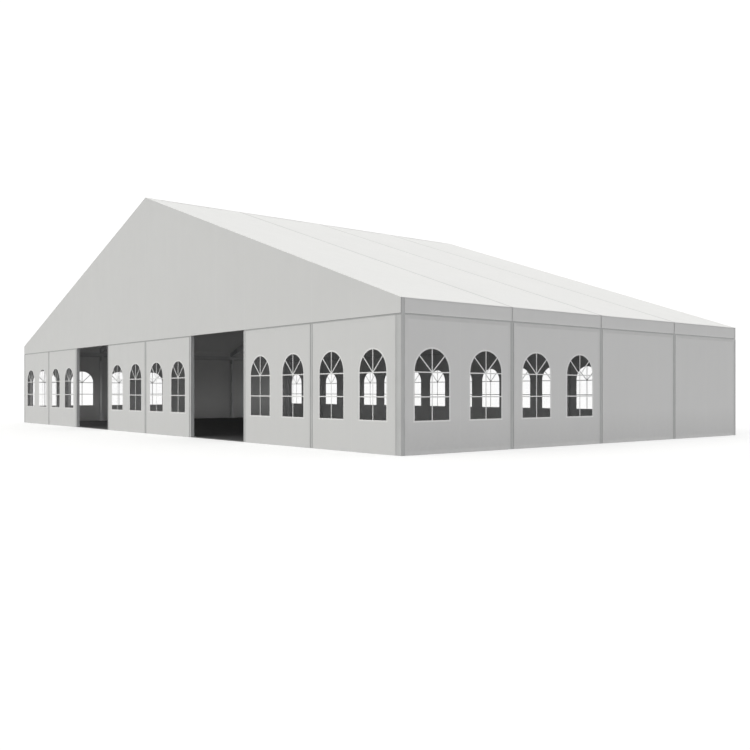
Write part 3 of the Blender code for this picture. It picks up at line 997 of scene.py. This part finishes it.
# Round anchor heads, each with a washer under it, four to a foot
height = steelwork["anchorHeight"]
levels = (0.0, 0.005, 0.005, height * 0.8, height)
head = extrude(circle(steelwork["anchorRadius"], 14), 2, levels, scales=(1.7, 1.7, 1.0, 1.0, 0.7))
spots = []
for y in np.clip(framePlaces(), -halfLength + 0.23, halfLength - 0.23):
    for sign in (-1, 1):
        for x in (halfSpan - legDepth - 0.27, halfSpan - legDepth - 0.09):
            spots += [(sign * x, y + shift, steelwork["footTop"] + 0.0004) for shift in (-0.13, 0.13)]
addMetal("foot_anchors", [copies(head, spots)], "steel", 0.5)

# Angle bracket behind a gable post, standing on the floor plates, with a bolt in each leg
parts = []
back, base = postInner - 0.0004, floorCorner.z + 0.0004
reach, tall = steelwork["shoeReach"], steelwork["shoeHeight"]
front, step = back - steelwork["shoeThickness"], base + steelwork["shoeThickness"]
for side in (-1, 1):
    profile = [(back, base), (back, base + tall), (front, base + tall), (front, step + 0.02)]
    profile += [(front - 0.02, step), (back - reach, step), (back - reach, base)]
    profile = [(side * y, z) for y, z in profile]
    for x in lineAt(np.arange(1, gableBays), gableBays):
        parts.append(extrude(profile, 0, (x - postHalf, x + postHalf)))
        parts.append(copies(boltHead(1, -side), [(x, side * (front - 0.0002), base + tall * 0.65)]))
        parts.append(copies(boltHead(2), [(x, side * (back - reach * 0.62), step + 0.0002)]))
addMetal("post_shoes", parts, "steel", 0.5)

# Ramped threshold strip across a doorway, from the ground up to the floor plates
outer, inner, rise = -halfLength + 0.002, -postInner, floorCorner.z
profile = [(outer, 0.001), (outer, 0.004), (-halfLength + 0.05, rise * 0.75)]
profile += [(inner - 0.03, rise + 0.002), (inner + 0.06, rise + 0.002), (inner + 0.062, rise + 0.0004)]
profile += [(inner - 0.001, rise + 0.0004), (inner - 0.001, 0.001)]
for word, door in zip(("left", "right"), frontDoors):
    low, high = lineAt(door - 1, gableBays), lineAt(door, gableBays)
    part = extrude(profile, 0, (low + postHalf + 0.002, high - postHalf - 0.002))
    addMetal(f"threshold_{word}", [part], "threshold")

# Narrow plates between the floor's edge and the walls, as x and y ranges: along a side wall between two
# feet, and along a gable between two posts where there is no doorway
floorEdge, inner, top = floorCorner.x, floorCorner.y, floorCorner.z - 0.002
half, gap = steelwork["footWidth"] / 2, 0.003
feet = np.clip(framePlaces(), -halfLength + 0.03 + half, halfLength - 0.03 - half)
rooms = [((floorEdge + gap, halfSpan + 0.01), (low + half + gap, high - half - gap))
         for low, high in zip(feet[:-1], feet[1:])]
rooms += [((-high, -low), y) for (low, high), y in rooms]
for side, doors in ((-1, frontDoors), (1, ())):
    y = sorted((side * (inner + gap), side * (halfLength + 0.01)))
    for number in range(1, gableBays + 1):
        if number in doors:
            continue
        low = lineAt(number - 1, gableBays) + postHalf + gap
        high = lineAt(number, gableBays) - postHalf - gap
        rooms.append(((max(low, -floorEdge), min(high, floorEdge)), y))
parts = []
for (lowX, highX), (lowY, highY) in rooms:
    outline = [(lowX, 0.001), (highX, 0.001), (highX, top - 0.002), (highX - 0.002, top)]
    outline += [(lowX + 0.002, top), (lowX, top - 0.002)]
    parts.append(plate(outline, lowY, highY - lowY))
addSolid("floor_edge_plates", parts, floorMaterial, sharp=0.5)
print("steelwork made")


# Stage, light and camera

stage = {"colour": (0.5, 0.5, 0.5), "glow": 0.52, "halfSize": 900.0, "level": -0.002}
light = {
    "sky": (1.0, 1.0, 0.998),
    "sunColour": (1.0, 1.0, 0.9),
    "horizon": 0.878,
    "zenith": 0.848,
    "ground": 0.22,
    "backdrop": 1.06,  # brightness of the plain white behind the tent
    "sun": 0.755,
    "sunAngle": 40,
    "fillAngle": 60,
    "fills": (0.15, 0.135, 0.12, 0.12),  # level light without shadows, for what the cloth lets through
    "fillBelow": 0.1,
    "stripWidth": 3.0,
    "stripGlow": 0.04,
}

size, level = stage["halfSize"], stage["level"]
mesh = bpy.data.meshes.new("studio_floor")
mesh.from_pydata([(-size, -size, level), (size, -size, level), (size, size, level), (-size, size, level)], [],
                 [(0, 1, 2, 3)])
ground = addObject("studio_floor", mesh)
material, place = newMaterial("studioFloor", Roughness=0.9, Emission_Color=(1.0, 1.0, 1.0, 1.0),
                              Emission_Strength=stage["glow"])
mesh.materials.append(finished(material, stage["colour"], patchy(place, 0.05, 2.0, 0.99, 1.0)))
ground.visible_diffuse = False  # the bounce from below comes from the world's own lower half


# Lamp turned about x and z by two angles in degrees
def addLamp(name, kind, tilt, turn, **settings):
    data = bpy.data.lights.new(name, kind)
    for key, value in settings.items():
        setattr(data, key, value)
    lamp = addObject(name, data)
    lamp.rotation_euler = (np.radians(tilt), 0.0, np.radians(turn))
    return lamp


# Sky: even white, a dim ground half that stands for the floor's bounce, and plain white behind the tent. Four
# weak level lamps and one from below fill the hall.
world = bpy.data.worlds.new("studio")
world.use_nodes = True
tree = world.node_tree
background = tree.nodes["Background"]
height = axisOf(addNode("TexCoord", {}, tree).outputs["Generated"], "Z")
upper = ranged(height, 0.0, 1.0, light["horizon"], light["zenith"])
lit = times(upper, ranged(height, -0.03, -0.005, light["ground"], 1.0))
seen = addNode("LightPath", {}, tree).outputs["Is Camera Ray"]
strength = addNode("Mix", {"Factor": seen, "A": lit, "B": light["backdrop"]}).outputs["Result"]
tree.links.new(strength, background.inputs["Strength"])
background.inputs["Color"].default_value = (*light["sky"], 1.0)
bpy.context.scene.world = world
addLamp("key", "SUN", 52, -14, energy=light["sun"], angle=np.radians(light["sunAngle"]),
        color=light["sunColour"])
soft = {"angle": np.radians(light["fillAngle"]), "use_shadow": False}
for number, energy in enumerate(light["fills"]):
    addLamp(f"fill_{number + 1}", "SUN", 90, 45 + 90 * number, energy=energy, **soft)
addLamp("fill_below", "SUN", 180, 0, energy=light["fillBelow"], **soft)
bpy.context.scene.view_settings.view_transform = "Standard"

# Dim strips, facing up, along the foot of the side walls and the back gable inside: power = glow * pi * area
wide = light["stripWidth"]
offSide, offEnd = halfSpan - 0.4 - wide / 2, halfLength - 0.4 - wide / 2
strips = [(side * offSide, 0.0, wide, 2 * halfLength - 1) for side in (-1, 1)]
strips.append((0.0, offEnd, 2 * (offSide - wide), wide))
for number, (x, y, across, along) in enumerate(strips, start=1):
    lamp = addLamp(f"strip_{number}", "AREA", 180, 0, shape="RECTANGLE", size=across, size_y=along,
                   energy=light["stripGlow"] * np.pi * across * along)
    lamp.location = (x, y, 0.05)
    lamp.visible_camera = lamp.visible_glossy = False

data = bpy.data.cameras.new("camera")
data.sensor_fit = "VERTICAL"
data.sensor_height = 36.0
data.sensor_width = 28.5  # only gives the turned views room for the lens shift
data.lens = 41.49
data.shift_x = -0.102
data.shift_y = 0.0224
data.clip_end = 2000.0
camera = addObject("camera", data)
camera.location = (41.209, -26.672, 2.0135)
camera.rotation_euler = (np.radians(90), 0.0, np.radians(48.353))
bpy.context.scene.camera = camera
print("stage, light and camera made")
